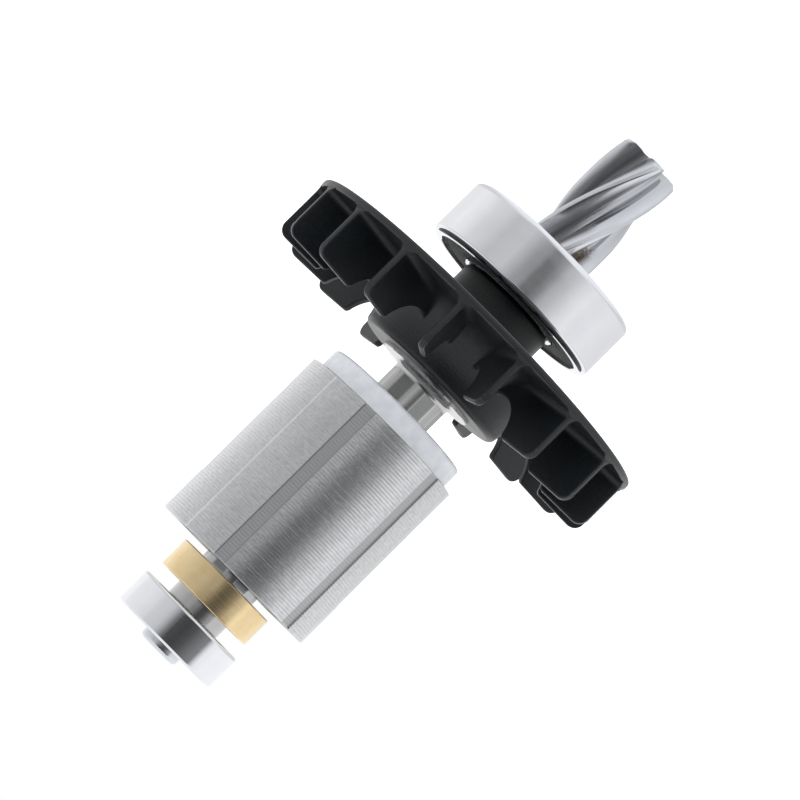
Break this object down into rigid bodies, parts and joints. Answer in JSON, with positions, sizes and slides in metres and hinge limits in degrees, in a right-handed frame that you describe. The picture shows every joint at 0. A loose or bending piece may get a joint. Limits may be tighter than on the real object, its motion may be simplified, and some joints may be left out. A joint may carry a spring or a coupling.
{
  "type": "brushless motor rotor",
  "caption": "Motor rotor: shaft with helical pinion, centrifugal fan, laminated magnet core, balance ring and two ball bearings.",
  "frame": {"origin": "centre of the pinion's end face, on the shaft's axis, where the rotor stands", "axes": "+Z along the shaft from the pinion to the rear bearing; X and Y across it"},
  "size_m": [0.065, 0.065, 0.105],
  "materials": {
    "ground_steel": "ground and polished steel",
    "core_steel": "stacked stamped laminations",
    "magnet": "plated magnet",
    "end_plate_white": "moulded, satin",
    "brass": "turned brass",
    "fan_black": "moulded glass-filled plastic, satin",
    "bearing_steel": "ground bearing steel",
    "cage_plastic": "moulded",
    "ball_steel": "polished",
    "seal_rubber": "moulded rubber, matte"
  },
  "bodies": {
    "rotor": {"shaft": "ground_steel", "lamination_stack": "core_steel", "magnet_1": "magnet", "magnet_2": "magnet", "magnet_3": "magnet", "magnet_4": "magnet", "end_plate": "end_plate_white", "balance_ring": "brass", "fan": "fan_black", "front_inner_ring": "bearing_steel", "rear_inner_ring": "bearing_steel"},
    "front_outer": {"front_outer_ring": "bearing_steel", "front_seal_pinion_side": "seal_rubber", "front_seal_fan_side": "seal_rubber"},
    "front_ball_cage": {"front_cage": "cage_plastic", "front_balls": "ball_steel"},
    "rear_outer": {"rear_outer_ring": "bearing_steel", "rear_seal_core_side": "seal_rubber", "rear_seal_end_side": "seal_rubber"},
    "rear_ball_cage": {"rear_cage": "cage_plastic", "rear_balls": "ball_steel"}
  },
  "joints": [
    {"name": "front_outer_spin", "type": "hinge", "parent": "rotor", "child": "front_outer", "pos_m": [0, 0, 0.0256], "axis": [0, 0, 1], "continuous": true},
    {"name": "front_cage_spin", "type": "hinge", "parent": "rotor", "child": "front_ball_cage", "pos_m": [0, 0, 0.0256], "axis": [0, 0, 1], "continuous": true},
    {"name": "rear_outer_spin", "type": "hinge", "parent": "rotor", "child": "rear_outer", "pos_m": [0, 0, 0.10055], "axis": [0, 0, 1], "continuous": true},
    {"name": "rear_cage_spin", "type": "hinge", "parent": "rotor", "child": "rear_ball_cage", "pos_m": [0, 0, 0.10055], "axis": [0, 0, 1], "continuous": true}
  ],
  "couplings": [
    {"joint": "front_cage_spin", "follows": "front_outer_spin", "ratio": 0.63636},
    {"joint": "rear_cage_spin", "follows": "rear_outer_spin", "ratio": 0.63462}
  ]
}
